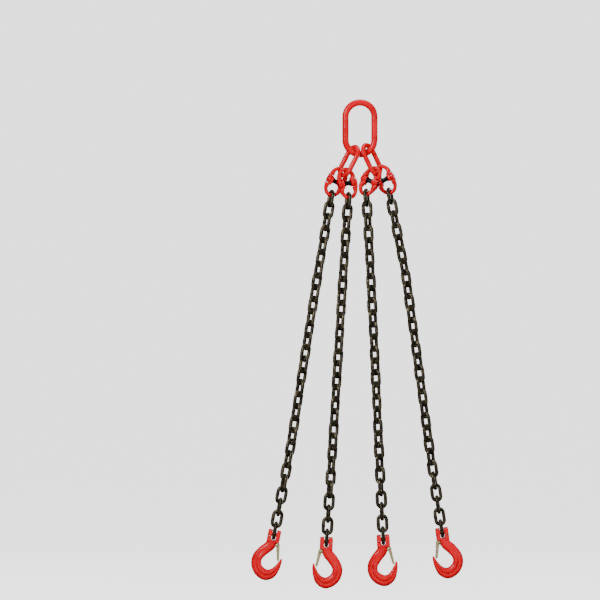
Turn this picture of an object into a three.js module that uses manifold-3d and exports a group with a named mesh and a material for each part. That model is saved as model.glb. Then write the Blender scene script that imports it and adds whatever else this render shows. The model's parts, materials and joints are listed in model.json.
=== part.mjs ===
// Four leg chain sling, hanging from a crane hook.
//
// One oval master link carries two intermediate links. Each intermediate link carries two connecting
// links, made of two forged halves on a load pin with a sleeve. Each connecting link carries one chain
// leg, and each leg ends in a clevis sling hook with a sprung safety latch.
//
// Millimetres, +Z up. The origin is the inside of the master link's upper crown, where the crane hook
// bears. The legs fan out in the XZ plane, and the hooks' flat sides face -Y and +Y.
import * as THREE from 'three';
import { mergeVertices } from 'three/addons/utils/BufferGeometryUtils.js';
import Module from 'manifold-3d';

const wasm = await Module();
wasm.setup();

const DEG = Math.PI / 180;
const THROUGH = 20; // half the length of a cutter that goes right through a hook or latch
const RUNNING_GAP = 0.3; // between pieces that only touch on the real sling

// ---- driving dimensions ----

const MASTER = { bar: 14.6, innerLength: 104.4, innerWidth: 52, sides: 10, crownSteps: 7 };
const INTERMEDIATE = { bar: 11, innerLength: 60.6, innerWidth: 29, sides: 8, crownSteps: 7 };
const CHAIN = { bar: 8, pitch: 27.9, width: 26.8, sides: 5, crownSteps: 3 };
const CHAIN_CORNER = 1.12; // the faceted bar's corners stand this much outside the round bar
const FUSED_DEPTH = 0.15; // how far links of one segment sink into each other where they bear
const SEGMENT_LINKS = [7, 7, 7, 8];

const COUPLING = {
  crownHeight: 33, // load pin to the middle of the bow's bar
  bowBar: 8.8,
  halfWidth: 22.4,
  lugRadius: 9,
  lugSplit: 15.05, // the plane where an outer lug meets an inner lug, from the middle
  innerLugFace: 8.1,
  lugHalfDepth: 7, // half the lug's depth where it joins its arm
  shoulderHeight: 9.7, // where the thick arms end, clear of the other half's lugs
  armMiddle: 16.3,
  armHalfWidth: 5.6,
  armHalfDepth: 7.4,
  pinRadius: 4.4,
  boreRadius: 4.75,
  sleeveRadius: 6.9,
};

const HOOK = {
  earHalfWidth: 15, // across the clevis, along its pin
  earRadius: 11,
  slotHalfWidth: 5.5,
  slotDepth: 17, // below the clevis pin's axis
  pinRadius: 4.7,
  boreRadius: 5.05,
  pinGroove: 1.4,
  rollPinRadius: 1.5,
  rollPinOffset: -10.2, // along the clevis pin, in the back ear
  latchPivot: new THREE.Vector3(12.5, 0, -22.5),
  latchLength: 36,
  latchLean: 13.6 * DEG, // closed, outwards from the hook's axis
  lugHalfThickness: 2.6,
  lugRadius: 4.9,
  pocketRadius: 6.2, // beside the lug, round the latch's eyes
  latchHalfWidth: 6.4,
  latchSheet: 1.2,
  rivetRadius: 2,
  rivetBore: 2.3,
};

// Each intermediate link: where its crown sits on the master's lower crown, from straight down, how far
// its long axis leans, how far it is rolled about that axis, and the slack that the roll leaves.
const BRANCHES = [
  { name: 'left', seat: -27 * DEG, lean: 27 * DEG, roll: -58 * DEG, slack: 0.6 },
  { name: 'right', seat: 34 * DEG, lean: -25 * DEG, roll: 56 * DEG, slack: 2.6 },
];

// Each leg: its intermediate link, where its connecting link sits on that link's lower crown, the lean of
// the connecting link, its pitch and yaw, the lean of the four chain segments and of the hook, the way
// the chain's links are rolled, the way the hook opens, and the slack left where the bow crosses the
// intermediate link and the chain crosses the bow at an angle.
const LEGS = [
  {
    branch: 0, seat: -42 * DEG, lean: 27 * DEG, pitch: 2 * DEG, yaw: 12 * DEG,
    chainLeans: [9.6, 9.0, 8.9, 10.6], hookLean: 12 * DEG, rollSign: -1, opens: 1,
    bowSlack: 0.7, chainSlack: 2.3,
  },
  {
    branch: 0, seat: 42 * DEG, lean: -12 * DEG, pitch: -2 * DEG, yaw: 16 * DEG,
    chainLeans: [3.8, 3.5, 3.5, 3.7], hookLean: 2.5 * DEG, rollSign: -1, opens: -1,
    bowSlack: 2.4, chainSlack: 2.2,
  },
  {
    branch: 1, seat: -48 * DEG, lean: 26 * DEG, pitch: -7 * DEG, yaw: -26 * DEG,
    chainLeans: [-3.1, -2.8, -2.6, -2.7], hookLean: -3 * DEG, rollSign: 1, opens: 1,
    bowSlack: 1.4, chainSlack: 1.4,
  },
  {
    branch: 1, seat: 54 * DEG, lean: -27 * DEG, pitch: 7 * DEG, yaw: -8 * DEG,
    chainLeans: [-11.2, -8.0, -7.6, -8.4], hookLean: -8 * DEG, rollSign: 1, opens: -1,
    bowSlack: 0.7, chainSlack: 3.1,
  },
];

// ---- materials ----

function steel(color, roughness, metalness) {
  return new THREE.MeshStandardMaterial({ color, roughness, metalness });
}

const redPaint = steel(0xe30a17, 0.3, 0.1);
const blackChain = steel(0x24211a, 0.5, 0.7);
const blackPin = steel(0x15151a, 0.45, 0.6);
const zinc = steel(0xdcd3a2, 0.35, 0.9);
const springSteel = steel(0x8f8a78, 0.4, 0.9);

// ---- solids ----

function vector(x, y, z) {
  return new THREE.Vector3(x, y, z);
}

// Skins a row of rings, each with the same number of points, and either joins the last to the first or
// closes both ends.
function loft(rings, closed) {
  const sides = rings[0].length;
  const spans = closed ? rings.length : rings.length - 1;
  const index = [];
  for (let i = 0; i < spans; i++) {
    const next = (i + 1) % rings.length;
    for (let j = 0; j < sides; j++) {
      const k = (j + 1) % sides;
      const [a, b, c, d] = [i * sides + j, i * sides + k, next * sides + j, next * sides + k];
      index.push(a, b, d, a, d, c);
    }
  }
  if (!closed) {
    const last = (rings.length - 1) * sides;
    for (let j = 1; j < sides - 1; j++) {
      index.push(0, j + 1, j, last, last + j, last + j + 1);
    }
  }
  const geometry = new THREE.BufferGeometry().setFromPoints(rings.flat());
  geometry.setIndex(index);
  return geometry;
}

// A closed geometry as a manifold solid, with its faces turned outwards.
function toSolid(geometry) {
  const bare = geometry.clone();
  bare.deleteAttribute('normal');
  bare.deleteAttribute('uv');
  const merged = mergeVertices(bare, 1e-4);
  const at = merged.attributes.position;
  const corner = (i) => vector().fromBufferAttribute(at, i);
  const faces = [];
  let volume = 0;
  for (let i = 0; i < merged.index.count; i += 3) {
    const [a, b, c] = [0, 1, 2].map((n) => merged.index.getX(i + n));
    if (a !== b && b !== c && c !== a) {
      faces.push([a, b, c]);
      volume += corner(a).dot(corner(b).cross(corner(c)));
    }
  }
  const triVerts = new Uint32Array(faces.map((f) => (volume < 0 ? [f[0], f[2], f[1]] : f)).flat());
  return new wasm.Manifold(new wasm.Mesh({ numProp: 3, vertProperties: at.array.slice(), triVerts }));
}

function toGeometry(solid) {
  const mesh = solid.getMesh();
  const geometry = new THREE.BufferGeometry();
  geometry.setAttribute('position', new THREE.BufferAttribute(mesh.vertProperties, 3));
  geometry.setIndex(new THREE.BufferAttribute(mesh.triVerts, 1));
  return geometry;
}

function union(geometries) {
  return geometries.map(toSolid).reduce((whole, next) => whole.add(next));
}

function cut(solid, geometries) {
  return geometries.map(toSolid).reduce((whole, next) => whole.subtract(next), solid);
}

// A bar round the X axis from x = from to x = to.
function barAlongX(radius, from, to, sides) {
  const geometry = new THREE.CylinderGeometry(radius, radius, to - from, sides, 1);
  return geometry.rotateZ(Math.PI / 2).translate((from + to) / 2, 0, 0);
}

// A bar round the Y axis through (x, z).
function barAlongY(radius, halfLength, x, z, sides) {
  return new THREE.CylinderGeometry(radius, radius, 2 * halfLength, sides, 1).translate(x, 0, z);
}

// An outline in the XZ plane, extruded along Y.
function plateAcrossY(shape, from, to) {
  const extrusion = { depth: to - from, bevelEnabled: false, curveSegments: 6 };
  const geometry = new THREE.ExtrudeGeometry(shape, extrusion);
  return geometry.rotateX(Math.PI / 2).translate(0, to, 0);
}

// ---- links ----

// The places along a long round link's bar, once round it in the XZ plane, and the way out of the link at
// each. Inside a crown both are stretched as in a mitred joint, so the chords touch the round bar.
function linkStations({ crownRadius, crownCentre, crownSteps }) {
  const stations = [];
  const step = Math.PI / crownSteps;
  for (const side of [1, -1]) {
    for (let i = 0; i <= crownSteps; i++) {
      const turn = i * step;
      const mitre = i === 0 || i === crownSteps ? 1 : 1 / Math.cos(step / 2);
      const out = vector(Math.cos(turn) * side, 0, Math.sin(turn) * side).multiplyScalar(mitre);
      const place = out.clone().multiplyScalar(crownRadius).add(vector(0, 0, side * crownCentre));
      stations.push({ place, out });
    }
  }
  return stations;
}

// A bar's outline, with one of its flat sides facing into the link.
function barRing(station, radius, sides) {
  return Array.from({ length: sides }, (_, i) => {
    const turn = Math.PI + ((i + 0.5) / sides) * 2 * Math.PI;
    const outward = station.out.clone().multiplyScalar(radius * Math.cos(turn));
    return station.place.clone().add(outward).add(vector(0, radius * Math.sin(turn), 0));
  });
}

function linkGeometry({ barRadius, crownRadius, crownHeight, crownSteps, sides }) {
  const stations = linkStations({ crownRadius, crownCentre: crownHeight - crownRadius, crownSteps });
  return loft(stations.map((station) => barRing(station, barRadius, sides)), true);
}

// The middle of the bar at a link's crown, from the link's middle.
function crownHeightOf(link) {
  return (link.innerLength + link.bar) / 2;
}

function roundLink(link) {
  return linkGeometry({
    barRadius: link.bar / 2 / Math.cos(Math.PI / link.sides),
    crownRadius: (link.innerWidth + link.bar) / 2,
    crownHeight: crownHeightOf(link),
    crownSteps: link.crownSteps,
    sides: link.sides,
  });
}

// ---- chain ----

const chainCorner = (CHAIN.bar / 2) * CHAIN_CORNER;
const chainFlat = chainCorner * Math.cos(Math.PI / CHAIN.sides);
const bearing = 2 * chainFlat - FUSED_DEPTH; // between the bars' middles, inside one segment
const looseBearing = chainFlat + chainCorner + 2 * RUNNING_GAP; // the same, where two segments meet
const chainCrown = (CHAIN.pitch + bearing) / 2; // link's middle to its crown bar's middle

// Neighbouring links stand square to each other, turned from the leg's plane. The last link is edge-on,
// to fit the hook's clevis, and the first nearly so, to ride on the connecting link's bow.
function linkRoll(leg, number, count) {
  const settled = 50;
  const opening = 18 * Math.max(0, 1 - number / 4);
  const closing = (90 - settled) * THREE.MathUtils.smoothstep(number, count - 9, count - 1);
  const wander = 5 * Math.sin(2.1 * number + leg.branch);
  const inside = number > 3 && number < count - 4;
  const turn = settled + opening + closing + (inside ? wander : 0);
  return leg.rollSign * (number % 2 ? turn - 90 : turn) * DEG;
}

function chainLink() {
  return linkGeometry({
    barRadius: chainCorner,
    crownRadius: (CHAIN.width - CHAIN.bar) / 2,
    crownHeight: chainCrown,
    crownSteps: CHAIN.crownSteps,
    sides: CHAIN.sides,
  });
}

// Links below each other, the first hanging by its upper crown's bar at the origin.
function chainSegment(rolls) {
  const links = rolls.map((roll, i) => (
    chainLink().rotateZ(roll).translate(0, 0, -chainCrown - i * CHAIN.pitch)
  ));
  return toGeometry(union(links));
}

// ---- connecting link ----

const outerLugFace = COUPLING.lugSplit + RUNNING_GAP / 2;
const innerLugEnd = COUPLING.lugSplit - RUNNING_GAP / 2;

// The middle of a half's bow in the XZ plane, from one shoulder over the crown to the other.
function couplingSpine() {
  const { crownHeight, shoulderHeight, armMiddle } = COUPLING;
  const side = [
    [armMiddle, shoulderHeight], [armMiddle, 14], [0.94 * armMiddle, 21.5], [0.54 * armMiddle, 30.4],
  ];
  return new THREE.CatmullRomCurve3([
    ...side.map(([x, z]) => vector(-x, 0, z)),
    vector(0, 0, crownHeight),
    ...side.reverse().map(([x, z]) => vector(x, 0, z)),
  ]);
}

// One forged half. Its bow's arms thicken down to their shoulders, and below them each arm goes on as a
// lug on one side of the split, so that the other half's lug fits beside it.
function couplingHalf() {
  const { crownHeight, halfWidth, lugRadius, innerLugFace, boreRadius, bowBar } = COUPLING;
  const { shoulderHeight, armHalfWidth, armHalfDepth, lugHalfDepth } = COUPLING;
  const spine = couplingSpine();
  const steps = 10;
  const sides = 8;
  const rings = [];
  for (let i = 0; i <= steps; i++) {
    const place = spine.getPoint(i / steps);
    const along = spine.getTangent(i / steps);
    const out = vector(-along.z, 0, along.x);
    const arm = THREE.MathUtils.smoothstep(crownHeight - place.z, 7.5, 21.5);
    const inPlane = THREE.MathUtils.lerp(bowBar / 2, armHalfWidth, arm);
    const across = THREE.MathUtils.lerp(bowBar / 2, armHalfDepth, arm);
    rings.push(Array.from({ length: sides }, (_, j) => {
      const turn = ((j + 0.5) / sides) * 2 * Math.PI;
      const offset = out.clone().multiplyScalar((inPlane * Math.cos(turn)) / Math.cos(Math.PI / sides));
      return place.clone().add(offset).add(vector(0, across * Math.sin(turn), 0));
    }));
  }
  const lugs = [[-halfWidth, -outerLugFace], [innerLugFace, innerLugEnd]].flatMap(([from, to]) => {
    const root = new THREE.BoxGeometry(to - from, 2 * lugHalfDepth, shoulderHeight + 1.5);
    root.translate((from + to) / 2, 0, (shoulderHeight + 1.5) / 2);
    return [barAlongX(lugRadius, from, to, 12), root];
  });
  const bore = barAlongX(boreRadius, -halfWidth - 1, halfWidth + 1, 12);
  return toGeometry(cut(union([loft(rings, false), ...lugs]), [bore]));
}

function couplingPin() {
  return barAlongX(COUPLING.pinRadius, -COUPLING.halfWidth + 0.6, COUPLING.halfWidth - 0.6, 12);
}

// A waisted sleeve, turned round the X axis.
function couplingSleeve() {
  const end = COUPLING.innerLugFace - RUNNING_GAP;
  const { boreRadius, sleeveRadius } = COUPLING;
  const waist = sleeveRadius - 1.1;
  const shoulder = end - 3.4;
  const profile = [
    [boreRadius, -end], [sleeveRadius, -end], [sleeveRadius, -shoulder], [waist, -shoulder],
    [waist, shoulder], [sleeveRadius, shoulder], [sleeveRadius, end], [boreRadius, end], [boreRadius, -end],
  ].map(([radius, along]) => new THREE.Vector2(radius, along));
  return toGeometry(toSolid(new THREE.LatheGeometry(profile, 12).rotateZ(-Math.PI / 2)));
}

// ---- hook ----

// The bowl's bar from the clevis to the tip: the middle of its section in the XZ plane, the half width in
// that plane, and the half thickness.
const HOOK_SECTIONS = [
  { at: [0, -13], width: 13, thick: 10.6 },
  { at: [-5, -27], width: 12.2, thick: 10.6 },
  { at: [-17.5, -42], width: 12.2, thick: 10.4 },
  { at: [-27, -58], width: 11.8, thick: 10 },
  { at: [-26.8, -74], width: 12, thick: 10 },
  { at: [-17.5, -88], width: 12.8, thick: 10 },
  { at: [-2, -95], width: 13, thick: 10 },
  { at: [12, -89.6], width: 11, thick: 9.4 },
  { at: [20.6, -77], width: 7.6, thick: 8.4 },
  { at: [25, -65], width: 5.1, thick: 7.2 },
  { at: [27.2, -56.5], width: 3, thick: 5.6 },
  { at: [27.4, -51], width: 1.5, thick: 3 },
];

// Rounded on the bowl's outside, flat where a load bears on the inside.
const HOOK_OUTLINE = [
  [1, 0.4], [0.6, 0.95], [-0.5, 1], [-1, 0.45], [-1, -0.45], [-0.5, -1], [0.6, -0.95], [1, -0.4],
];

function hookBowl() {
  const middles = HOOK_SECTIONS.map(({ at }) => vector(at[0], 0, at[1]));
  const spine = new THREE.CatmullRomCurve3(middles, false, 'centripetal');
  const last = HOOK_SECTIONS.length - 1;
  return loft(HOOK_SECTIONS.map(({ width, thick }, i) => {
    const along = spine.getTangent(i / last);
    const inward = i === 0 ? vector(1, 0, 0) : vector(-along.z, 0, along.x);
    return HOOK_OUTLINE.map(([across, y]) => {
      return middles[i].clone().addScaledVector(inward, across * width).add(vector(0, y * thick, 0));
    });
  }), false);
}

// The two ears, one block before the slot is cut, round above the clevis pin.
function hookClevis() {
  const { earHalfWidth, earRadius } = HOOK;
  const shape = new THREE.Shape();
  shape.moveTo(-earRadius, -19);
  shape.lineTo(earRadius, -19);
  shape.lineTo(earRadius, 0);
  shape.absarc(0, 0, earRadius, 0, Math.PI, false);
  shape.closePath();
  const extrusion = { depth: 2 * earHalfWidth, bevelEnabled: false, curveSegments: 6 };
  const block = new THREE.ExtrudeGeometry(shape, extrusion);
  return block.rotateX(Math.PI / 2).rotateZ(Math.PI / 2).translate(-earHalfWidth, 0, 0);
}

function hookSlot() {
  const { slotHalfWidth, slotDepth, earRadius } = HOOK;
  const shape = new THREE.Shape();
  shape.moveTo(slotHalfWidth, earRadius + 1);
  shape.lineTo(-slotHalfWidth, earRadius + 1);
  shape.lineTo(-slotHalfWidth, -slotDepth + slotHalfWidth);
  shape.absarc(0, -slotDepth + slotHalfWidth, slotHalfWidth, Math.PI, 2 * Math.PI, false);
  shape.closePath();
  return plateAcrossY(shape, -THROUGH, THROUGH);
}

// Where the roll pin crosses the groove in the clevis pin.
function rollPinHeight() {
  return -(HOOK.pinRadius - HOOK.pinGroove + HOOK.rollPinRadius + RUNNING_GAP);
}

function hookBody() {
  const { x, z } = HOOK.latchPivot;
  const lugPlate = barAlongY(HOOK.lugRadius, HOOK.lugHalfThickness, x, z, 10);
  const lugRoot = new THREE.BoxGeometry(8, 2 * HOOK.lugHalfThickness, 2 * HOOK.lugRadius);
  lugRoot.translate(x - 4, 0, z);
  // A pocket beside the lug on each face gives the latch's eyes room.
  const pocketDepth = 12;
  const pockets = [1, -1].map((side) => {
    const middle = side * (HOOK.lugHalfThickness + pocketDepth / 2);
    return barAlongY(HOOK.pocketRadius, pocketDepth / 2, x, z, 12).translate(0, middle, 0);
  });
  const bores = [
    barAlongX(HOOK.boreRadius, -HOOK.earHalfWidth - 1, HOOK.earHalfWidth + 1, 12),
    barAlongY(HOOK.rollPinRadius + RUNNING_GAP, THROUGH, HOOK.rollPinOffset, rollPinHeight(), 6),
    barAlongY(HOOK.rivetBore, THROUGH, x, z, 8),
  ];
  const blank = cut(union([hookBowl(), hookClevis()]), [hookSlot(), ...pockets]);
  return toGeometry(cut(blank.add(union([lugPlate, lugRoot])), bores));
}

// A plain pin with a groove for the roll pin, turned round the X axis.
function clevisPin() {
  const { pinRadius, pinGroove, rollPinOffset, earHalfWidth } = HOOK;
  const end = earHalfWidth - 0.3;
  const grooveHalfWidth = 2.2;
  const profile = [
    [0, -end], [pinRadius, -end], [pinRadius, rollPinOffset - grooveHalfWidth],
    [pinRadius - pinGroove, rollPinOffset - grooveHalfWidth],
    [pinRadius - pinGroove, rollPinOffset + grooveHalfWidth],
    [pinRadius, rollPinOffset + grooveHalfWidth], [pinRadius, end], [0, end],
  ].map(([radius, along]) => new THREE.Vector2(radius, along));
  return toGeometry(toSolid(new THREE.LatheGeometry(profile, 12).rotateZ(-Math.PI / 2)));
}

function rollPin() {
  return barAlongY(HOOK.rollPinRadius, HOOK.earRadius * 0.9, HOOK.rollPinOffset, rollPinHeight(), 6);
}

// A pressed channel whose pivot is at the origin and whose tip points down: two cheeks round the hook's
// lug, and a web on the outside that bears on the hook's tip.
function latch() {
  const { latchLength, latchHalfWidth, latchSheet, rivetBore } = HOOK;
  const outline = new THREE.Shape();
  outline.moveTo(-3.4, -3.6);
  outline.lineTo(-2.4, -latchLength);
  outline.lineTo(2.4, -latchLength);
  outline.lineTo(4.9, -2);
  outline.absarc(0, 0, 5.3, -22 * DEG, 226 * DEG, false);
  outline.closePath();
  const hollow = new THREE.Shape();
  hollow.moveTo(-9, 9);
  hollow.lineTo(-9, -latchLength + latchSheet);
  hollow.lineTo(2.4 - latchSheet, -latchLength + latchSheet);
  hollow.lineTo(4.5 - latchSheet, -8);
  hollow.lineTo(9, -6.6);
  hollow.lineTo(9, 9);
  hollow.closePath();
  const inside = latchHalfWidth - latchSheet;
  const pressed = cut(toSolid(plateAcrossY(outline, -latchHalfWidth, latchHalfWidth)), [
    plateAcrossY(hollow, -inside, inside),
    barAlongY(rivetBore, THROUGH, 0, 0, 8),
  ]);
  return toGeometry(pressed);
}

// A rivet with a head outside each cheek, turned round the Y axis.
function latchRivet() {
  const { rivetRadius, latchHalfWidth } = HOOK;
  const under = latchHalfWidth + RUNNING_GAP;
  const head = 1;
  const headRadius = 3.2;
  const profile = [
    [0, -under - head], [headRadius, -under - head], [headRadius, -under], [rivetRadius, -under],
    [rivetRadius, under], [headRadius, under], [headRadius, under + head], [0, under + head],
  ].map(([radius, along]) => new THREE.Vector2(radius, along));
  return toGeometry(toSolid(new THREE.LatheGeometry(profile, 8)));
}

// The torsion spring's coil, as the closed ring that its turns fill, beside the hook's lug.
function latchSpring() {
  const from = HOOK.lugHalfThickness + RUNNING_GAP;
  const to = HOOK.latchHalfWidth - HOOK.latchSheet - RUNNING_GAP;
  const profile = [[2.5, from], [4.3, from], [4.3, to], [2.5, to], [2.5, from]];
  const turned = new THREE.LatheGeometry(profile.map(([r, along]) => new THREE.Vector2(r, along)), 8);
  return toGeometry(toSolid(turned));
}

// ---- assembly ----

const sling = new THREE.Group();

function addMesh(parent, name, geometry, material) {
  const mesh = new THREE.Mesh(geometry, material);
  mesh.name = name;
  parent.add(mesh);
  return mesh;
}

// The direction up along a piece that leans by an angle about Y, and pitches about X.
function upward(lean, pitch = 0) {
  return vector(0, 0, 1).applyEuler(new THREE.Euler(pitch, lean, 0));
}

// The place on a round crown at a seat angle from its bottom, and the crown's tangent there.
function crownSeat({ centre, radius, side, up, seat }) {
  const place = centre.clone().addScaledVector(side, radius * Math.sin(seat));
  const tangent = side.clone().multiplyScalar(Math.cos(seat)).addScaledVector(up, Math.sin(seat));
  return { place: place.addScaledVector(up, -radius * Math.cos(seat)), tangent };
}

// The middle of a bar that hangs over another, the given distance off along their common perpendicular.
function over({ place, tangent }, ownTangent, distance) {
  const normal = ownTangent.clone().cross(tangent).normalize();
  return place.clone().addScaledVector(normal, distance * Math.sign(normal.z));
}

function addMaster() {
  const mesh = addMesh(sling, 'master_link', roundLink(MASTER), redPaint);
  mesh.position.z = -MASTER.innerLength / 2;
}

// Returns the intermediate link's lower crown.
function addIntermediate(branch) {
  const masterCrown = {
    centre: vector(0, 0, MASTER.innerWidth / 2 - MASTER.innerLength),
    radius: (MASTER.innerWidth + MASTER.bar) / 2,
    side: vector(1, 0, 0),
    up: vector(0, 0, 1),
    seat: branch.seat,
  };
  const mesh = addMesh(sling, `intermediate_link_${branch.name}`, roundLink(INTERMEDIATE), redPaint);
  mesh.rotation.set(0, branch.lean, branch.roll);
  const up = upward(branch.lean);
  const side = vector(1, 0, 0).applyEuler(mesh.rotation);
  const lift = (MASTER.bar + INTERMEDIATE.bar) / 2 + RUNNING_GAP + branch.slack;
  mesh.position.copy(crownSeat(masterCrown).place).addScaledVector(up, lift - crownHeightOf(INTERMEDIATE));
  const radius = (INTERMEDIATE.innerWidth + INTERMEDIATE.bar) / 2;
  const centre = mesh.position.clone().addScaledVector(up, radius - crownHeightOf(INTERMEDIATE));
  return { centre, radius, side, up };
}

// Returns the middle of the lower bow's bar, at points round the bow.
function addCoupling(leg, number, crown) {
  const group = new THREE.Group();
  group.rotation.set(leg.pitch, leg.lean, leg.yaw);
  const across = vector(1, 0, 0).applyEuler(group.rotation);
  const lift = (INTERMEDIATE.bar + COUPLING.bowBar) / 2 + RUNNING_GAP + leg.bowSlack;
  group.position.copy(over(crownSeat({ ...crown, seat: leg.seat }), across, lift))
    .addScaledVector(upward(leg.lean, leg.pitch), -COUPLING.crownHeight);
  sling.add(group);
  addMesh(group, `coupling_${number}_upper_half`, couplingHalf(), redPaint);
  const lower = addMesh(group, `coupling_${number}_lower_half`, couplingHalf(), redPaint);
  lower.rotation.y = Math.PI;
  addMesh(group, `coupling_${number}_load_pin`, couplingPin(), blackPin);
  addMesh(group, `coupling_${number}_sleeve`, couplingSleeve(), blackPin);
  group.updateMatrixWorld(true);
  return couplingSpine().getPoints(80).map((point) => point.applyMatrix4(lower.matrixWorld));
}

// Hangs the leg's segments from the place on the bow that is furthest down the leg, and returns the last
// crown bar's middle.
function addChain(leg, number, bow) {
  const count = SEGMENT_LINKS.reduce((a, b) => a + b);
  const legUp = upward(leg.chainLeans[0] * DEG);
  let bar = bow.reduce((lowest, point) => (point.dot(legUp) < lowest.dot(legUp) ? point : lowest));
  let first = 0;
  SEGMENT_LINKS.forEach((links, i) => {
    const lean = leg.chainLeans[i] * DEG;
    const up = upward(lean);
    const hold = i === 0 ? COUPLING.bowBar / 2 + chainFlat + RUNNING_GAP + leg.chainSlack : looseBearing;
    const rolls = Array.from({ length: links }, (_, k) => linkRoll(leg, first + k, count));
    const mesh = addMesh(sling, `chain_${number}_segment_${i + 1}`, chainSegment(rolls), blackChain);
    mesh.position.copy(bar).addScaledVector(up, hold);
    mesh.rotation.y = lean;
    bar = mesh.position.clone().addScaledVector(up, -2 * chainCrown - (links - 1) * CHAIN.pitch);
    first += links;
  });
  return bar;
}

function addHook(leg, number, bar) {
  const group = new THREE.Group();
  const lift = HOOK.pinRadius + chainFlat + 2 * RUNNING_GAP;
  group.position.copy(bar).addScaledVector(upward(leg.hookLean), lift);
  group.rotation.y = leg.hookLean;
  sling.add(group);
  const turned = new THREE.Group();
  turned.rotation.z = leg.opens > 0 ? 0 : Math.PI;
  group.add(turned);
  addMesh(turned, `hook_${number}_body`, hookBody(), redPaint);
  addMesh(turned, `hook_${number}_clevis_pin`, clevisPin(), zinc);
  addMesh(turned, `hook_${number}_roll_pin`, rollPin(), springSteel);
  const pivot = new THREE.Group();
  pivot.position.copy(HOOK.latchPivot);
  pivot.rotation.y = -HOOK.latchLean;
  turned.add(pivot);
  addMesh(pivot, `hook_${number}_latch`, latch(), zinc);
  addMesh(pivot, `hook_${number}_latch_rivet`, latchRivet(), zinc);
  addMesh(pivot, `hook_${number}_latch_spring`, latchSpring(), springSteel);
}

addMaster();
const branches = BRANCHES.map(addIntermediate);
LEGS.forEach((leg, i) => {
  const bow = addCoupling(leg, i + 1, branches[leg.branch]);
  const bar = addChain(leg, i + 1, bow);
  addHook(leg, i + 1, bar);
});

export default sling;
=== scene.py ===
"""Four leg chain sling: smooth forged and welded pieces over the CAD frame.

Sizes are millimetres until a mesh is made. Each piece sits on a place and a direction of the CAD
assembly: its joints give the places, and the angles below repeat the CAD source's.
"""

import json
import math
import bmesh  # noqa: E402
import bpy  # noqa: E402
import numpy as np  # noqa: E402
from mathutils import Matrix, Vector  # noqa: E402


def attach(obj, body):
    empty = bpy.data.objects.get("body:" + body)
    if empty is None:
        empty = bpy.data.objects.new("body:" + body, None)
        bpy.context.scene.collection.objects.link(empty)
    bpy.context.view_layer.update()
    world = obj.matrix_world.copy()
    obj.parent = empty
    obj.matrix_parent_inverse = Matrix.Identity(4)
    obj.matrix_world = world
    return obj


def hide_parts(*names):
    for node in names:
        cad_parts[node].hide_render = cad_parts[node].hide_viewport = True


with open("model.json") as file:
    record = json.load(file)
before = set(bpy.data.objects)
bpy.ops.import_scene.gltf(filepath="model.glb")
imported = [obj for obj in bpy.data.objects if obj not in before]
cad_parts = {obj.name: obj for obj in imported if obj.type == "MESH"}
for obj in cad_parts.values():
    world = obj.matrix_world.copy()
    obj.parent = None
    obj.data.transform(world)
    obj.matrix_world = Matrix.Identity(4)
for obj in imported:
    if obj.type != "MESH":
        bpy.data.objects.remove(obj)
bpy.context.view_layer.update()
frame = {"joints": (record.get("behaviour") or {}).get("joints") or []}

MM = 0.001
RUNNING_GAP = 0.3
WHITE = 2.3  # how bright the floor and the surroundings look

# ---- the CAD source's driving dimensions ----

MASTER = {"bar": 14.6, "inner_length": 104.4, "inner_width": 52}
INTERMEDIATE = {"bar": 11, "inner_length": 60.6, "inner_width": 29}
CHAIN_BAR = 8
CHAIN_PITCH = 27.9
CHAIN_CORNER = CHAIN_BAR / 2 * 1.12
CHAIN_FLAT = CHAIN_CORNER * math.cos(math.pi / 5)
CAD_CROWN = (CHAIN_PITCH + 2 * CHAIN_FLAT - 0.15) / 2
LOOSE_BEARING = CHAIN_FLAT + CHAIN_CORNER + 2 * RUNNING_GAP
SEGMENT_LINKS = [7, 7, 7, 8]
LINK_COUNT = sum(SEGMENT_LINKS)

# ---- the visual model's own, a little over the nominal sizes so that thin bars read ----

ROUND_CHAIN_BAR = 8.4
ROUND_CHAIN_WIDTH = 27.6
ROUND_LINK_GAIN = 0.5
JOINT_GAP = 0.34  # between the bars where two pieces of chain meet, so that they can bend
COUPLING_VOXEL = 0.4
HOOK_VOXEL = 0.62

COUPLING = {
    "crown_height": 33,
    "bow_bar": 8.8,
    "half_width": 22.4,
    "lug_radius": 9,
    "lug_split": 15.05,
    "inner_lug_face": 8.1,
    "lug_half_depth": 7,
    "shoulder_height": 9.7,
    "arm_middle": 16.3,
    "arm_half_width": 5.6,
    "arm_half_depth": 7.4,
    "pin_radius": 4.4,
    "bore_radius": 4.75,
    "sleeve_radius": 6.9,
}

BRANCHES = [
    {"name": "left", "seat": -27, "lean": 27, "roll": -58, "slack": 0.6},
    {"name": "right", "seat": 34, "lean": -25, "roll": 56, "slack": 2.6},
]

LEGS = [
    {
        "branch": 0, "lean": 27, "pitch": 2, "yaw": 12, "chain_leans": [9.6, 9.0, 8.9, 10.6],
        "hook_lean": 12, "roll_sign": -1, "opens": 1, "chain_slack": 2.3,
    },
    {
        "branch": 0, "lean": -12, "pitch": -2, "yaw": 16, "chain_leans": [3.8, 3.5, 3.5, 3.7],
        "hook_lean": 2.5, "roll_sign": -1, "opens": -1, "chain_slack": 2.2,
    },
    {
        "branch": 1, "lean": 26, "pitch": -7, "yaw": -26, "chain_leans": [-3.1, -2.8, -2.6, -2.7],
        "hook_lean": -3, "roll_sign": 1, "opens": 1, "chain_slack": 1.4,
    },
    {
        "branch": 1, "lean": -27, "pitch": 7, "yaw": -8, "chain_leans": [-11.2, -8.0, -7.6, -8.4],
        "hook_lean": -8, "roll_sign": 1, "opens": -1, "chain_slack": 3.1,
    },
]

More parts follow.
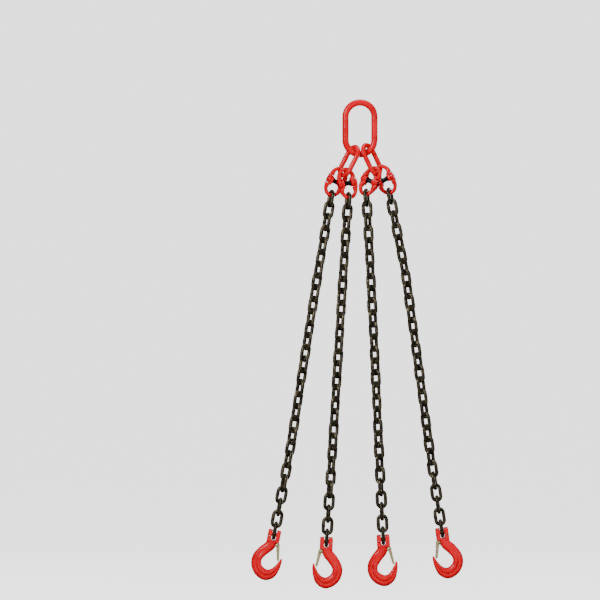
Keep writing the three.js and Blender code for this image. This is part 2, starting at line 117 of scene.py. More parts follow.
HOOK = {
    "ear_half_width": 15,
    "ear_radius": 11,
    "slot_half_width": 5.1,
    "slot_depth": 14.2,
    "pin_radius": 4.7,
    "bore_radius": 5.05,
    "pin_groove": 1.4,
    "roll_pin_radius": 1.5,
    "roll_pin_offset": -10.2,
    "latch_pivot": (12.5, 0, -22.5),
    "latch_length": 36,
    "latch_lean": 13.6,
    "lug_half_thickness": 2.6,
    "lug_radius": 4.9,
    "latch_half_width": 6.4,
    "latch_sheet": 1.2,
    "rivet_radius": 2,
    "rivet_bore": 2.3,
}

# The bowl's bar from the clevis to the tip: middle of its section, half width in the hook's plane, and
# half thickness.
HOOK_SECTIONS = [
    ((0, -13), 13, 10.6),
    ((-5, -27), 12.2, 10.6),
    ((-17.5, -42), 12.2, 10.4),
    ((-27, -58), 11.8, 10),
    ((-26.8, -74), 12, 10),
    ((-17.5, -88), 12.8, 10),
    ((-2, -95), 13, 10),
    ((12, -89.6), 11, 9.4),
    ((20.6, -77), 7.6, 8.4),
    ((25, -65), 5.1, 7.2),
    ((27.2, -56.5), 3, 5.6),
    ((27.4, -51), 1.5, 3),
]


# ---- geometry helpers ----

def turned(angle, axis):
    return Matrix.Rotation(math.radians(angle), 4, axis)


def placed(place, pitch=0, lean=0, roll=0):
    """The matrix of a piece at a place in millimetres, rolled about its own Z, leant, then pitched."""
    turn = turned(pitch, "X") @ turned(lean, "Y") @ turned(roll, "Z")
    return Matrix.Translation(Vector(place) * MM) @ turn


def catmull_rom(points, t):
    """A point on the centripetal curve through the points, with t from 0 to 1."""
    points = [np.asarray(p, float) for p in points]
    last = len(points) - 1
    span = min(int(math.floor(last * t)), last - 1)
    weight = last * t - span
    p1, p2 = points[span], points[span + 1]
    p0 = points[span - 1] if span > 0 else 2 * p1 - p2
    p3 = points[span + 2] if span + 2 <= last else 2 * p2 - p1
    d0, d1, d2 = (max(np.dot(b - a, b - a) ** 0.25, 1e-4) for a, b in ((p0, p1), (p1, p2), (p2, p3)))
    t1 = ((p1 - p0) / d0 - (p2 - p0) / (d0 + d1) + (p2 - p1) / d1) * d1
    t2 = ((p2 - p1) / d1 - (p3 - p1) / (d1 + d2) + (p3 - p2) / d2) * d1
    c2 = -3 * p1 + 3 * p2 - 2 * t1 - t2
    c3 = 2 * p1 - 2 * p2 + t1 + t2
    return p1 + t1 * weight + c2 * weight**2 + c3 * weight**3


def smoothstep(x, low, high):
    x = min(max((x - low) / (high - low), 0), 1)
    return x * x * (3 - 2 * x)


def loft(rings, closed=False):
    """Vertices and faces of a skin over rings of equal length, capped at both ends unless closed."""
    rings = np.asarray(rings, float)
    rows, sides = rings.shape[:2]
    vertices = rings.reshape(-1, 3)
    faces = []
    for i in range(rows if closed else rows - 1):
        n = (i + 1) % rows
        for j in range(sides):
            k = (j + 1) % sides
            faces.append((i * sides + j, i * sides + k, n * sides + k, n * sides + j))
    if not closed:
        faces.append(tuple(range(sides))[::-1])
        faces.append(tuple((rows - 1) * sides + j for j in range(sides)))
    return vertices, faces


def joined(parts):
    """Several (vertices, faces) as one."""
    vertices, faces, offset = [], [], 0
    for v, f in parts:
        vertices.append(np.asarray(v, float))
        faces.extend(tuple(i + offset for i in face) for face in f)
        offset += len(v)
    return np.concatenate(vertices), faces


def moved(part, matrix):
    """(vertices, faces) put through a 4x4 matrix whose translation is in millimetres."""
    m = np.array(matrix)
    v = np.asarray(part[0], float)
    return v @ m[:3, :3].T + m[:3, 3], part[1]


def lathe(profile, sides, axis="X"):
    """Turns an outline of (radius, along) round an axis. A radius of 0 closes the end."""
    rings = []
    for radius, along in profile:
        ring = []
        for i in range(sides):
            a = 2 * math.pi * i / sides
            r = max(radius, 1e-3)
            c, s = r * math.cos(a), r * math.sin(a)
            ring.append((along, c, s) if axis == "X" else (s, along, c))
        rings.append(ring)
    return loft(rings)


def bar_along_x(radius, reach, sides):
    return lathe([(0, -reach), (radius, -reach), (radius, reach), (0, reach)], sides)


def tube(path, radius, sides=10):
    """A round wire along a list of points."""
    path = [np.asarray(p, float) for p in path]
    rings = []
    normal = None
    for i, p in enumerate(path):
        along = path[min(i + 1, len(path) - 1)] - path[max(i - 1, 0)]
        along /= np.linalg.norm(along)
        if normal is None:
            normal = np.cross(along, (0.3, 0.5, 0.8))
        normal = normal - along * np.dot(normal, along)
        normal /= np.linalg.norm(normal)
        other = np.cross(along, normal)
        angles = [2 * math.pi * j / sides for j in range(sides)]
        rings.append([p + radius * (normal * math.cos(a) + other * math.sin(a)) for a in angles])
    return loft(rings)


def plate(outline, low, high, bevel=0.35):
    """A flat plate across Y from an outline of (x, z), with its edges chamfered."""
    outline = np.asarray(outline, float)
    before, after = np.roll(outline, 1, 0), np.roll(outline, -1, 0)
    along = after - before
    along /= np.linalg.norm(along, axis=1)[:, None]
    area = np.sum(outline[:, 0] * after[:, 1] - after[:, 0] * outline[:, 1])
    inward = np.stack((-along[:, 1], along[:, 0]), 1) * (1 if area > 0 else -1)
    small = outline + inward * bevel
    rings = []
    for points, y in ((small, low), (outline, low + bevel), (outline, high - bevel), (small, high)):
        rings.append([(x, y, z) for x, z in points])
    return loft(rings)


def to_mesh(name, part, sharp=35):
    """A Blender mesh from millimetres, with its faces turned outwards and smooth up to the sharp angle."""
    vertices, faces = part
    mesh = bpy.data.meshes.new(name)
    mesh.from_pydata((np.asarray(vertices) * MM).tolist(), [], faces)
    work = bmesh.new()
    work.from_mesh(mesh)
    bmesh.ops.recalc_face_normals(work, faces=work.faces)
    work.to_mesh(mesh)
    work.free()
    finish_mesh(mesh, sharp)
    return mesh


def finish_mesh(mesh, sharp=35):
    mesh.polygons.foreach_set("use_smooth", [True] * len(mesh.polygons))
    mesh.set_sharp_from_angle(angle=math.radians(sharp))
    mesh.update()


def evaluated(mesh, modifiers):
    """A mesh with modifiers applied: each is (type, {property: value})."""
    holder = bpy.data.objects.new("holder", mesh)
    bpy.context.scene.collection.objects.link(holder)
    for kind, settings in modifiers:
        modifier = holder.modifiers.new(kind.lower(), kind)
        for key, value in settings.items():
            setattr(modifier, key, value)
    bpy.context.view_layer.update()
    result = bpy.data.meshes.new_from_object(holder.evaluated_get(bpy.context.evaluated_depsgraph_get()))
    bpy.data.objects.remove(holder)
    return result


def melted(mesh, voxel, rounds):
    """Overlapping closed shells melted into one skin, with their inner corners eased like a forging's."""
    return evaluated(mesh, [
        ("REMESH", {"mode": "VOXEL", "voxel_size": voxel * MM}),
        ("SMOOTH", {"factor": 0.5, "iterations": rounds}),
    ])


def booled(mesh, part, operation="DIFFERENCE"):
    tool = bpy.data.objects.new("tool", to_mesh("tool", part))
    bpy.context.scene.collection.objects.link(tool)
    result = evaluated(mesh, [("BOOLEAN", {"operation": operation, "solver": "EXACT", "object": tool})])
    bpy.data.objects.remove(tool)
    return result


def cleaned(mesh, sharp, shortest=0.02):
    """The mesh without the slivers that a boolean leaves, in triangles and finished."""
    work = bmesh.new()
    work.from_mesh(mesh)
    bmesh.ops.remove_doubles(work, verts=work.verts, dist=shortest * MM)
    bmesh.ops.dissolve_degenerate(work, edges=work.edges, dist=shortest * MM)
    bmesh.ops.triangulate(work, faces=[face for face in work.faces if len(face.verts) > 4])
    bmesh.ops.dissolve_degenerate(work, edges=work.edges, dist=shortest * MM)
    work.to_mesh(mesh)
    work.free()
    finish_mesh(mesh, sharp)
    return mesh


def add(name, mesh, matrix, material, body, slot, *nodes):
    piece = bpy.data.objects.new(name, mesh)
    bpy.context.scene.collection.objects.link(piece)
    piece.matrix_world = matrix
    if not mesh.materials:
        mesh.materials.append(material)
    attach(piece, body)
    if nodes:
        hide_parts(*nodes)
    return piece


# ---- materials ----

class Nodes:
    """A short way to write a node material."""

    def __init__(self, name):
        self.material = bpy.data.materials.new(name)
        self.material.use_nodes = True
        self.tree = self.material.node_tree
        self.shader = self.tree.nodes["Principled BSDF"]

    def node(self, kind, inputs=None, **settings):
        made = self.tree.nodes.new(kind)
        for key, value in settings.items():
            setattr(made, key, value)
        for key, value in (inputs or {}).items():
            self.put(made.inputs[key], value)
        return made

    def put(self, socket, value):
        if isinstance(value, bpy.types.NodeSocket):
            self.tree.links.new(value, socket)
        else:
            socket.default_value = value

    def noise(self, scale, detail=4.0, roughness=0.55, distortion=0.0):
        coordinate = self.node("ShaderNodeTexCoord")
        return self.node("ShaderNodeTexNoise", {
            "Vector": coordinate.outputs["Object"], "Scale": scale, "Detail": detail,
            "Roughness": roughness, "Distortion": distortion,
        }).outputs["Fac"]

    def ramp(self, value, stops):
        made = self.node("ShaderNodeValToRGB", {"Fac": value})
        elements = made.color_ramp.elements
        while len(elements) < len(stops):
            elements.new(0.5)
        for element, (at, colour) in zip(elements, stops):
            element.position = at
            element.color = (*colour, 1)
        return made.outputs["Color"]

    def spread(self, value, low, high):
        return self.node("ShaderNodeMapRange", {
            "Value": value, "From Min": 0.3, "From Max": 0.7, "To Min": low, "To Max": high,
        }).outputs["Result"]

    def bump(self, height, strength, distance):
        settings = {"Height": height, "Strength": strength, "Distance": distance * MM}
        made = self.node("ShaderNodeBump", settings)
        self.put(self.shader.inputs["Normal"], made.outputs["Normal"])

    def shade(self, **inputs):
        for key, value in inputs.items():
            self.put(self.shader.inputs[key.replace("_", " ")], value)
        return self.material


def red_paint():
    m = Nodes("red_paint")
    colour = m.ramp(m.noise(38, 4), [
        (0.3, (0.56, 0.0, 0.007)), (0.5, (0.70, 0.0, 0.010)), (0.72, (0.78, 0.0, 0.011)),
    ])
    m.bump(m.noise(110, 2), 0.08, 0.5)
    return m.shade(
        Base_Color=colour, Roughness=m.spread(m.noise(60, 3), 0.13, 0.22), Metallic=0.0,
        Specular_IOR_Level=0.22, Coat_Weight=0.0,
    )


def chain_steel():
    m = Nodes("chain_steel")
    # The dark stops are the oiled steel's own tone, varying at random. The olive top stop is painted sheen:
    # bright patches in the base colour that stand in for reflections on the links' sides.
    colour = m.ramp(m.noise(95, 6, 0.6, 0.4), [
        (0.32, (0.012, 0.010, 0.007)), (0.5, (0.045, 0.037, 0.022)), (0.66, (0.15, 0.12, 0.062)),
    ])
    m.bump(m.noise(360, 5, 0.65), 0.35, 0.3)
    return m.shade(Base_Color=colour, Roughness=m.spread(m.noise(150, 4), 0.28, 0.5), Metallic=0.6)


def pin_steel():
    m = Nodes("pin_steel")
    colour = m.ramp(m.noise(140, 4), [(0.35, (0.008, 0.008, 0.009)), (0.7, (0.035, 0.035, 0.04))])
    m.bump(m.noise(520, 3), 0.2, 0.15)
    return m.shade(Base_Color=colour, Roughness=m.spread(m.noise(200, 3), 0.25, 0.45), Metallic=0.8)


def zinc():
    m = Nodes("zinc")
    colour = m.ramp(m.noise(90, 5, 0.6, 0.3), [
        (0.3, (0.58, 0.47, 0.20)), (0.5, (0.78, 0.67, 0.33)), (0.72, (0.88, 0.79, 0.50)),
    ])
    m.bump(m.noise(600, 3), 0.12, 0.1)
    return m.shade(Base_Color=colour, Roughness=m.spread(m.noise(170, 3), 0.25, 0.42), Metallic=0.7)


def spring_steel():
    m = Nodes("spring_steel")
    colour = m.ramp(m.noise(200, 4), [(0.35, (0.25, 0.23, 0.19)), (0.7, (0.48, 0.45, 0.38))])
    m.bump(m.noise(700, 2), 0.1, 0.08)
    return m.shade(Base_Color=colour, Roughness=m.spread(m.noise(240, 3), 0.2, 0.4), Metallic=0.9)


def backdrop_paint():
    m = Nodes("backdrop")
    colour = m.ramp(m.noise(1.5, 3), [(0.3, (0.28, 0.28, 0.28)), (0.7, (0.32, 0.32, 0.32))])
    return m.shade(
        Base_Color=colour, Roughness=0.8, Specular_IOR_Level=0.1,
        Emission_Color=(1, 1, 1, 1), Emission_Strength=WHITE,
    )


RED, BLACK, PIN, ZINC, SPRING = red_paint(), chain_steel(), pin_steel(), zinc(), spring_steel()

# ---- round links ----


def link_part(radius, crown_radius, top, bottom, arc=20, straight=6, sides=16, weld=0.0):
    """A long round link in the XZ plane. top and bottom are its crown bars' heights from its middle, and
    weld is how far the butt weld swells the bar, halfway down one side."""
    stations = []
    for side, height in ((1, top), (-1, bottom)):
        centre = side * (height - crown_radius)
        for i in range(arc + 1):
            a = math.pi * i / arc
            out = np.array((math.cos(a) * side, 0, math.sin(a) * side))
            stations.append((out * crown_radius + np.array((0, 0, centre)), out))
        end = -side * ((bottom if side > 0 else top) - crown_radius)
        for i in range(1, straight):
            z = centre + (end - centre) * i / straight
            stations.append((np.array((-side * crown_radius, 0, z)), np.array((-side, 0, 0.0))))
    rings = []
    for place, out in stations:
        r = radius
        if weld and place[0] < 0:
            r = radius * (1 + weld * math.exp(-((place[2] / (0.62 * radius)) ** 2)))
        ring = []
        for j in range(sides):
            a = 2 * math.pi * j / sides
            ring.append(place + out * r * math.cos(a) + np.array((0, r * math.sin(a), 0)))
        rings.append(ring)
    return loft(rings, closed=True)


def crown_height(link):
    return (link["inner_length"] + link["bar"]) / 2


def oval(link, **detail):
    height = crown_height(link)
    bar = (link["bar"] + ROUND_LINK_GAIN) / 2
    return link_part(bar, (link["inner_width"] + link["bar"]) / 2, height, height, **detail)


def up_of(lean, pitch=0):
    return (turned(pitch, "X") @ turned(lean, "Y")).to_3x3() @ Vector((0, 0, 1))


def add_master():
    mesh = to_mesh("master_link_forged", oval(MASTER, arc=36, straight=14, sides=28, weld=0.035))
    add("master_link_forged", mesh, placed((0, 0, -MASTER["inner_length"] / 2)), RED, "master", "red_paint",
        "master_link")


def add_intermediate(branch):
    radius = (MASTER["inner_width"] + MASTER["bar"]) / 2
    seat = math.radians(branch["seat"])
    centre = Vector((0, 0, MASTER["inner_width"] / 2 - MASTER["inner_length"]))
    crown = centre + radius * Vector((math.sin(seat), 0, -math.cos(seat)))
    lift = (MASTER["bar"] + INTERMEDIATE["bar"]) / 2 + RUNNING_GAP + branch["slack"]
    place = crown + up_of(branch["lean"]) * (lift - crown_height(INTERMEDIATE))
    name = f"intermediate_link_{branch['name']}"
    mesh = to_mesh(name + "_forged", oval(INTERMEDIATE, arc=30, straight=10, sides=22, weld=0.045))
    add(name + "_forged", mesh, placed(place, 0, branch["lean"], branch["roll"]), RED,
        f"intermediate_{branch['name']}", "red_paint", name)


# ---- chain ----


def link_roll(leg, number):
    settled = 50
    opening = 18 * max(0, 1 - number / 4)
    closing = (90 - settled) * smoothstep(number, LINK_COUNT - 9, LINK_COUNT - 1)
    inside = 3 < number < LINK_COUNT - 4
    turn = settled + opening + closing + (5 * math.sin(2.1 * number + leg["branch"]) if inside else 0)
    return leg["roll_sign"] * (turn - 90 if number % 2 else turn)


def chain_part(leg, segment, first):
    """A segment's links below each other. Where it meets another piece, its end link is drawn out or in,
    so that the bars all but bear on each other."""
    bar = ROUND_CHAIN_BAR / 2
    round_crown = CHAIN_PITCH / 2 + bar - 0.03
    overlap = round_crown - CAD_CROWN
    joint_play = (LOOSE_BEARING + 2 * overlap - ROUND_CHAIN_BAR) / 2 - JOINT_GAP / 2
    bow_play = COUPLING["bow_bar"] / 2 + CHAIN_FLAT + RUNNING_GAP + leg["chain_slack"] + overlap
    bow_play -= COUPLING["bow_bar"] / 2 + bar + 0.6
    pin_play = HOOK["pin_radius"] + CHAIN_FLAT + 2 * RUNNING_GAP + overlap - HOOK["pin_radius"] - bar - 0.15
    count = SEGMENT_LINKS[segment]
    links = []
    for i in range(count):
        top = round_crown - (0 if i else (bow_play if segment == 0 else joint_play))
        bottom = round_crown - (0 if i < count - 1 else (pin_play if segment == 3 else joint_play))
        side = (ROUND_CHAIN_WIDTH - ROUND_CHAIN_BAR) / 2
        link = link_part(bar, side, top, bottom, arc=12, straight=8, sides=12, weld=0.1)
        turn = turned(link_roll(leg, first + i), "Z")
        links.append(moved(link, Matrix.Translation((0, 0, -CAD_CROWN - i * CHAIN_PITCH)) @ turn))
    return joined(links)


def add_chain(leg, number, joints):
    place = joints[f"chain_{number}_top_swing"]
    first = 0
    for segment, count in enumerate(SEGMENT_LINKS):
        lean = leg["chain_leans"][segment]
        up = up_of(lean)
        if segment:
            place = bar + up * LOOSE_BEARING
        name = f"chain_{number}_segment_{segment + 1}"
        mesh = to_mesh(name + "_links", chain_part(leg, segment, first), sharp=60)
        add(name + "_links", mesh, placed(place, 0, lean), BLACK, f"chain_{number}_part_{segment + 1}",
            "chain_steel", name)
        bar = place - up * (2 * CAD_CROWN + (count - 1) * CHAIN_PITCH)
        first += count


# ---- connecting links ----


def coupling_spine():
    middle = COUPLING["arm_middle"]
    side = [
        (middle, COUPLING["shoulder_height"]), (middle, 14), (0.94 * middle, 21.5), (0.54 * middle, 30.4),
    ]
    left = [(-x, 0, z) for x, z in side]
    return [*left, (0, 0, COUPLING["crown_height"]), *[(x, 0, z) for x, z in reversed(side)]]


def rounded(a, b, sides, power):
    """A rounded rectangle's points, from half sizes a and b. A power of 2 is an ellipse."""
    points = []
    for j in range(sides):
        c, s = math.cos(2 * math.pi * j / sides), math.sin(2 * math.pi * j / sides)
        points.append((
            a * math.copysign(abs(c) ** (2 / power), c),
            b * math.copysign(abs(s) ** (2 / power), s),
        ))
    return points


def coupling_mesh():
    """One forged half: a round bow whose arms thicken to their shoulders, then a lug under each arm, with
    the pin's bore through both."""
    spine = coupling_spine()
    bow, steps, sides = COUPLING["bow_bar"] / 2, 60, 28
    rings = []
    for i in range(steps + 1):
        t = i / steps
        place = catmull_rom(spine, t)
        along = catmull_rom(spine, min(t + 0.004, 1)) - catmull_rom(spine, max(t - 0.004, 0))
        along /= np.linalg.norm(along)
        out = np.array((-along[2], 0, along[0]))
        arm = smoothstep(COUPLING["crown_height"] - place[2], 7.5, 21.5)
        in_plane = bow * (1 - arm) + COUPLING["arm_half_width"] * arm
        across = bow * (1 - arm) + COUPLING["arm_half_depth"] * arm
        outline = rounded(in_plane, across, sides, 2 + 0.7 * arm)
        rings.append([place + out * a + np.array((0, b, 0)) for a, b in outline])
    radius, edge, top = COUPLING["lug_radius"], 0.9, COUPLING["shoulder_height"] + 2.5
    depth = COUPLING["lug_half_depth"]
    lugs = []
    for low, high in (
        (-COUPLING["half_width"], -COUPLING["lug_split"] - RUNNING_GAP / 2),
        (COUPLING["inner_lug_face"], COUPLING["lug_split"] - RUNNING_GAP / 2),
    ):
        lugs.append(lathe([
            (0, low), (radius - edge, low), (radius - 0.3 * edge, low + 0.3 * edge), (radius, low + edge),
            (radius, high - edge), (radius - 0.3 * edge, high - 0.3 * edge), (radius - edge, high), (0, high),
        ], 40))
        root = plate([(-depth, 0), (depth, 0), (depth - 0.4, top), (-depth + 0.4, top)], low, high, edge)
        lugs.append(moved(root, turned(-90, "Z")))
    mesh = melted(to_mesh("coupling_blank", joined([loft(rings), *lugs])), COUPLING_VOXEL, 4)
    reach = COUPLING["half_width"] + 2
    mesh = booled(mesh, bar_along_x(COUPLING["bore_radius"], reach, 40))
    drift_hole, through, height = 1.1, 12, 13.6
    punch = lathe([(0, -through), (drift_hole, -through), (drift_hole, through), (0, through)], 16, "Y")
    mesh = booled(mesh, moved(punch, Matrix.Translation((-COUPLING["arm_middle"] - 1.5, 0, height))))
    return cleaned(mesh, 50)


def coupling_pin_mesh():
    end, r = COUPLING["half_width"] - 0.6, COUPLING["pin_radius"]
    return to_mesh("load_pin", lathe([
        (0, -end), (r - 1.3, -end), (r - 0.5, -end + 0.35), (r, -end + 1),
        (r, end - 1), (r - 0.5, end - 0.35), (r - 1.3, end), (0, end),
    ], 36))


def coupling_sleeve_mesh():
    """The sleeve that keeps the pin in: two shoulders and a waist, with a groove rolled beside each."""
    end, r = COUPLING["inner_lug_face"] - RUNNING_GAP, COUPLING["sleeve_radius"]
    waist, shoulder, bore = r - 1.3, end - 3.2, COUPLING["bore_radius"]
    half = [
        (bore, 0), (bore, end), (r - 0.5, end), (r, end - 0.5), (r, shoulder + 0.5), (r - 0.5, shoulder),
        (waist, shoulder - 0.6), (waist - 0.4, shoulder - 1.3), (waist, 0),
    ]
    outline = [*half[:-1], *[(a, -b) for a, b in reversed(half[1:])]]
    rings = []
    for radius, along in outline:
        rings.append([
            (along, radius * math.cos(2 * math.pi * i / 36), radius * math.sin(2 * math.pi * i / 36))
            for i in range(36)
        ])
    return to_mesh("sleeve", loft(rings, closed=True))


def add_coupling(leg, number, joints, meshes):
    half, pin, sleeve = meshes
    place = joints[f"coupling_{number}_pin_turn"]
    matrix = placed(place, leg["pitch"], leg["lean"], leg["yaw"])
    name = f"coupling_{number}"
    add(f"{name}_upper_forging", half, matrix, RED, f"{name}_upper", "red_paint", f"{name}_upper_half")
    add(f"{name}_lower_forging", half, matrix @ turned(180, "Y"), RED, f"{name}_lower", "red_paint",
        f"{name}_lower_half")
    add(f"{name}_pin_turned", pin, matrix, PIN, f"{name}_upper", "pin_steel", f"{name}_load_pin")
    add(f"{name}_sleeve_turned", sleeve, matrix, PIN, f"{name}_upper", "pin_steel", f"{name}_sleeve")


# ---- hooks ----

# Half of the bowl's section, from the inside round one face to the outside: across, in half widths
# towards the inside, and out of the plane, in half thicknesses. The step between the thick inner rim and
# the thinner back runs round the bowl.
HOOK_OUTLINE = [
    (1, 0), (0.985, 0.3), (0.92, 0.62), (0.78, 0.86), (0.58, 0.98), (0.36, 1.0), (0.18, 0.98), (0.06, 0.9),
    (-0.04, 0.8), (-0.16, 0.77), (-0.4, 0.79), (-0.62, 0.72), (-0.8, 0.56), (-0.93, 0.32), (-1, 0),
]


def hook_bowl():
    middles = [(a[0], 0, a[1]) for a, _, _ in HOOK_SECTIONS]
    sizes = [(width, thick, 0) for _, width, thick in HOOK_SECTIONS]
    outline = HOOK_OUTLINE + [(a, -b) for a, b in reversed(HOOK_OUTLINE[1:-1])]
    steps = 120
    rings = []
    for i in range(steps + 1):
        t = i / steps
        place = catmull_rom(middles, t)
        along = catmull_rom(middles, min(t + 0.003, 1)) - catmull_rom(middles, max(t - 0.003, 0))
        along /= np.linalg.norm(along)
        inward = np.array((-along[2], 0, along[0]))
        width, thick, _ = catmull_rom(sizes, t)
        plain = smoothstep(t, 0.12, 0.26) * (1 - smoothstep(t, 0.78, 0.92))
        ring = []
        for a, b in outline:
            full = math.copysign(abs(1 - abs(a) ** 2.6) ** 0.42, b) if b else 0
            depth = (b * plain + full * (1 - plain)) * thick
            ring.append(place + inward * a * width + np.array((0, depth, 0)))
        rings.append(ring)
    return loft(rings)


def hook_ears():
    """The clevis before its slot is cut: a block with a round top, its edges chamfered."""
    r, width = HOOK["ear_radius"], HOOK["ear_half_width"]
    outline = [(-r, -17.5), (r, -17.5), (r, 0)]
    outline += [(r * math.cos(a), r * math.sin(a)) for a in np.linspace(0, math.pi, 24)[1:]]
    block = plate(outline, -width, width, 1.4)
    return moved(block, turned(90, "Z"))


def hook_slot():
    half, depth = HOOK["slot_half_width"], HOOK["slot_depth"]
    turn = np.linspace(math.pi, 2 * math.pi, 18)
    outline = [(half, 14), (-half, 14)]
    outline += [(half * math.cos(a), -depth + half + half * math.sin(a)) for a in turn]
    return plate(outline, -20, 20, 0.01)


def drum(radius, low, high, x, z, sides=32):
    """A disc or bar round the Y axis through (x, z)."""
    profile = [(0, low), (radius, low), (radius, high), (0, high)]
    return moved(lathe(profile, sides, "Y"), Matrix.Translation((x, 0, z)))


def roll_pin_height():
    return -(HOOK["pin_radius"] - HOOK["pin_groove"] + HOOK["roll_pin_radius"] + RUNNING_GAP)


def hook_mesh():
    x, _, z = HOOK["latch_pivot"]
    lug = HOOK["lug_half_thickness"]
    blank, root_reach, root_half, across = lug + 0.3, 8, 4.7, 14
    eye = drum(HOOK["lug_radius"], -blank, blank, x, z)
    low, high = z - root_half, z + root_half
    root = plate([(x - root_reach, low), (x, low), (x, high), (x - root_reach, high)], -blank, blank)
    mesh = melted(to_mesh("hook_blank", joined([hook_bowl(), hook_ears(), eye, root])), HOOK_VOXEL, 6)
    mesh = booled(mesh, hook_slot())
    for side in (1, -1):
        low, high = sorted((side * lug, side * across))
        mesh = booled(mesh, drum(HOOK["lug_radius"] + 1.3, low, high, x, z))
    mesh = booled(mesh, drum(HOOK["rivet_bore"], -20, 20, x, z))
    reach = HOOK["ear_half_width"] + 2
    mesh = booled(mesh, bar_along_x(HOOK["bore_radius"], reach, 36))
    hole = HOOK["roll_pin_radius"] + RUNNING_GAP
    mesh = booled(mesh, drum(hole, -across, across, HOOK["roll_pin_offset"], roll_pin_height(), 20))
    return cleaned(mesh, 42)


def clevis_pin_mesh():
    r, groove, at = HOOK["pin_radius"], HOOK["pin_groove"], HOOK["roll_pin_offset"]
    end, half = HOOK["ear_half_width"] - 0.3, 2.2
    return to_mesh("clevis_pin", lathe([
        (0, -end), (r - 0.9, -end), (r, -end + 0.7), (r, at - half), (r - groove, at - half + 0.4),
        (r - groove, at + half - 0.4), (r, at + half), (r, end - 0.7), (r - 0.9, end), (0, end),
    ], 36))


def roll_pin_mesh():
    """A slotted spring pin."""
    outer, inner, half = HOOK["roll_pin_radius"], HOOK["roll_pin_radius"] - 0.45, HOOK["ear_radius"] * 0.9
    gap = 0.35
    arc = np.linspace(gap, 2 * math.pi - gap, 20)
    outline = [(outer * math.cos(a), outer * math.sin(a)) for a in arc]
    outline += [(inner * math.cos(a), inner * math.sin(a)) for a in arc[::-1]]
    part = plate(outline, -half, half, 0.08)
    place = (HOOK["roll_pin_offset"], 0, roll_pin_height())
    return to_mesh("roll_pin", moved(part, Matrix.Translation(place)))


def latch_mesh():
    """A pressed channel round the hook's lug: two cheeks with round eyes, and a web on the outside."""
    length, half, sheet = HOOK["latch_length"], HOOK["latch_half_width"], HOOK["latch_sheet"]
    eye = 5.3
    outline = [
        (-3.3, -4.4), (-3.1, -9), (-2.5, -length + 1.2), (-1.5, -length),
        (1.6, -length), (2.6, -length + 1.1), (4.1, -9), (4.7, -3.2),
    ]
    outline += [(eye * math.cos(a), eye * math.sin(a)) for a in np.radians(np.linspace(-24, 228, 26))]
    parts = [plate(outline, *sorted((side * half, side * (half - sheet))), 0.3) for side in (1, -1)]
    web = [(2.4, -length + 0.9), (4.5, -6.8), (4.5 - sheet, -7.2), (2.4 - sheet, -length + 0.9)]
    parts.append(plate(web, -half + 0.5, half - 0.5, 0.05))
    foot = [(-2.2, -length + 0.1), (2.3, -length + 0.1), (2.3, -length + sheet), (-2.2, -length + sheet)]
    parts.append(plate(foot, -half + 0.5, half - 0.5, 0.05))
    mesh = to_mesh("latch", parts[0])
    for part in parts[1:]:
        mesh = booled(mesh, part, "UNION")
    mesh = booled(mesh, drum(HOOK["rivet_bore"], -12, 12, 0, 0, 24))
    return cleaned(mesh, 40)


def rivet_mesh():
    r, under = HOOK["rivet_radius"], HOOK["latch_half_width"] + RUNNING_GAP
    dome = [(3.2 * math.cos(a), under + 0.15 + 0.85 * math.sin(a)) for a in np.linspace(0, math.pi / 2, 8)]
    half = [(r, 0), (r, under), (3.2, under), *dome]
    return to_mesh("latch_rivet", lathe([*[(a, -b) for a, b in reversed(half)], *half[1:]], 28, "Y"))


def latch_spring_mesh():
    """A torsion spring beside the lug, with one leg along the hook."""
    low = HOOK["lug_half_thickness"] + RUNNING_GAP
    high = HOOK["latch_half_width"] - HOOK["latch_sheet"] - RUNNING_GAP
    wire, turns, steps, radius = 0.32, 3, 24, 3.3
    path = [(-6.6, low + wire, -2.2)]
    for i in range(turns * steps + 1):
        a = math.pi + 2 * math.pi * i / steps
        along = low + wire + (high - low - 2 * wire) * i / (turns * steps)
        path.append((radius * math.cos(a), along, radius * math.sin(a)))
    return to_mesh("latch_spring", tube(path, wire))


def add_hook(leg, number, joints, meshes):
    body, clevis_pin, roll_pin, latch, rivet, spring = meshes
    facing = turned(0 if leg["opens"] > 0 else 180, "Z")
    matrix = placed(joints[f"hook_{number}_swing"], 0, leg["hook_lean"]) @ facing
    pivot = matrix @ Matrix.Translation(Vector(HOOK["latch_pivot"]) * MM) @ turned(-HOOK["latch_lean"], "Y")
    name = hook = f"hook_{number}"
    add(f"{name}_forging", body, matrix, RED, hook, "red_paint", f"{name}_body")
    add(f"{name}_pin_turned", clevis_pin, matrix, ZINC, hook, "zinc", f"{name}_clevis_pin")
    add(f"{name}_roll_pin_split", roll_pin, matrix, SPRING, hook, "spring_steel", f"{name}_roll_pin")
    add(f"{name}_latch_pressed", latch, pivot, ZINC, f"latch_{number}", "zinc", f"{name}_latch")
    add(f"{name}_rivet_domed", rivet, pivot, ZINC, hook, "zinc", f"{name}_latch_rivet")
    add(f"{name}_spring_wound", spring, pivot, SPRING, hook, "spring_steel", f"{name}_latch_spring")


# ---- the sling ----

places = {j["name"]: Vector(j["pos_m"]) / MM for j in frame["joints"] if "pos_m" in j}
add_master()
for branch in BRANCHES:
    add_intermediate(branch)
coupling_meshes = (coupling_mesh(), coupling_pin_mesh(), coupling_sleeve_mesh())
hook_meshes = (
    hook_mesh(), clevis_pin_mesh(), roll_pin_mesh(), latch_mesh(), rivet_mesh(), latch_spring_mesh(),
)
for number, leg in enumerate(LEGS, 1):
    add_coupling(leg, number, places, coupling_meshes)
    add_chain(leg, number, places)
    add_hook(leg, number, places, hook_meshes)

# ---- stage ----

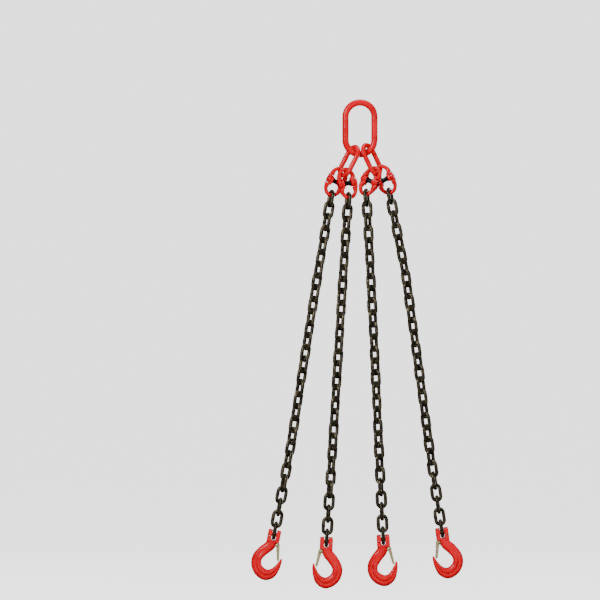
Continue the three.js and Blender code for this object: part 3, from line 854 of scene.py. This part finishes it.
FIELD = 1.38  # the width of the view at the sling, in metres
AIM = Vector((-0.138, 0, -0.447))
DISTANCE = 8.0


def add_floor():
    mesh = bpy.data.meshes.new("floor")
    size, level = 30.0, -1.32
    corners = [(x, y, level) for x, y in ((-size, -size), (size, -size), (size, size), (-size, size))]
    mesh.from_pydata(corners, [], [(0, 1, 2, 3)])
    mesh.materials.append(backdrop_paint())
    floor = bpy.data.objects.new("floor", mesh)
    floor.visible_diffuse = False
    floor.visible_glossy = False
    bpy.context.scene.collection.objects.link(floor)


def add_light(name, place, size, power, glossy):
    data = bpy.data.lights.new(name, "AREA")
    data.shape, data.size, data.energy = "SQUARE", size, power
    lamp = bpy.data.objects.new(name, data)
    lamp.location = place
    lamp.visible_glossy = glossy
    lamp.rotation_euler = (AIM - Vector(place)).to_track_quat("-Z", "Y").to_euler()
    bpy.context.scene.collection.objects.link(lamp)


def add_camera():
    data = bpy.data.cameras.new("camera")
    data.sensor_width = 36
    data.lens = data.sensor_width * DISTANCE / FIELD
    camera = bpy.data.objects.new("camera", data)
    camera.location = AIM + Vector((0, -DISTANCE, 0))
    camera.rotation_euler = (math.pi / 2, 0, 0)
    bpy.context.scene.collection.objects.link(camera)
    bpy.context.scene.camera = camera


add_floor()
for name, place, size, power, glossy in (
    ("key", (-2.2, -3.2, 1.0), 1.6, 150, True),
    ("fill", (2.6, -3.0, 0.2), 2.0, 95, False),
    ("low", (0.0, -2.6, -1.2), 1.6, 35, False),
    ("top", (0.0, 0.3, 2.4), 1.8, 70, True),
    ("back_left", (-2.4, 2.8, 0.4), 2.0, 90, False),
    ("back_right", (2.4, 2.8, 0.0), 2.0, 90, True),
):
    add_light(name, place, size, power, glossy)
add_camera()
world = bpy.data.worlds.new("studio")
bpy.context.scene.world = world
world.use_nodes = True
world.node_tree.nodes["Background"].inputs["Color"].default_value = (1, 1, 1, 1)
world.node_tree.nodes["Background"].inputs["Strength"].default_value = WHITE
world.cycles_visibility.diffuse = False
world.cycles_visibility.glossy = False
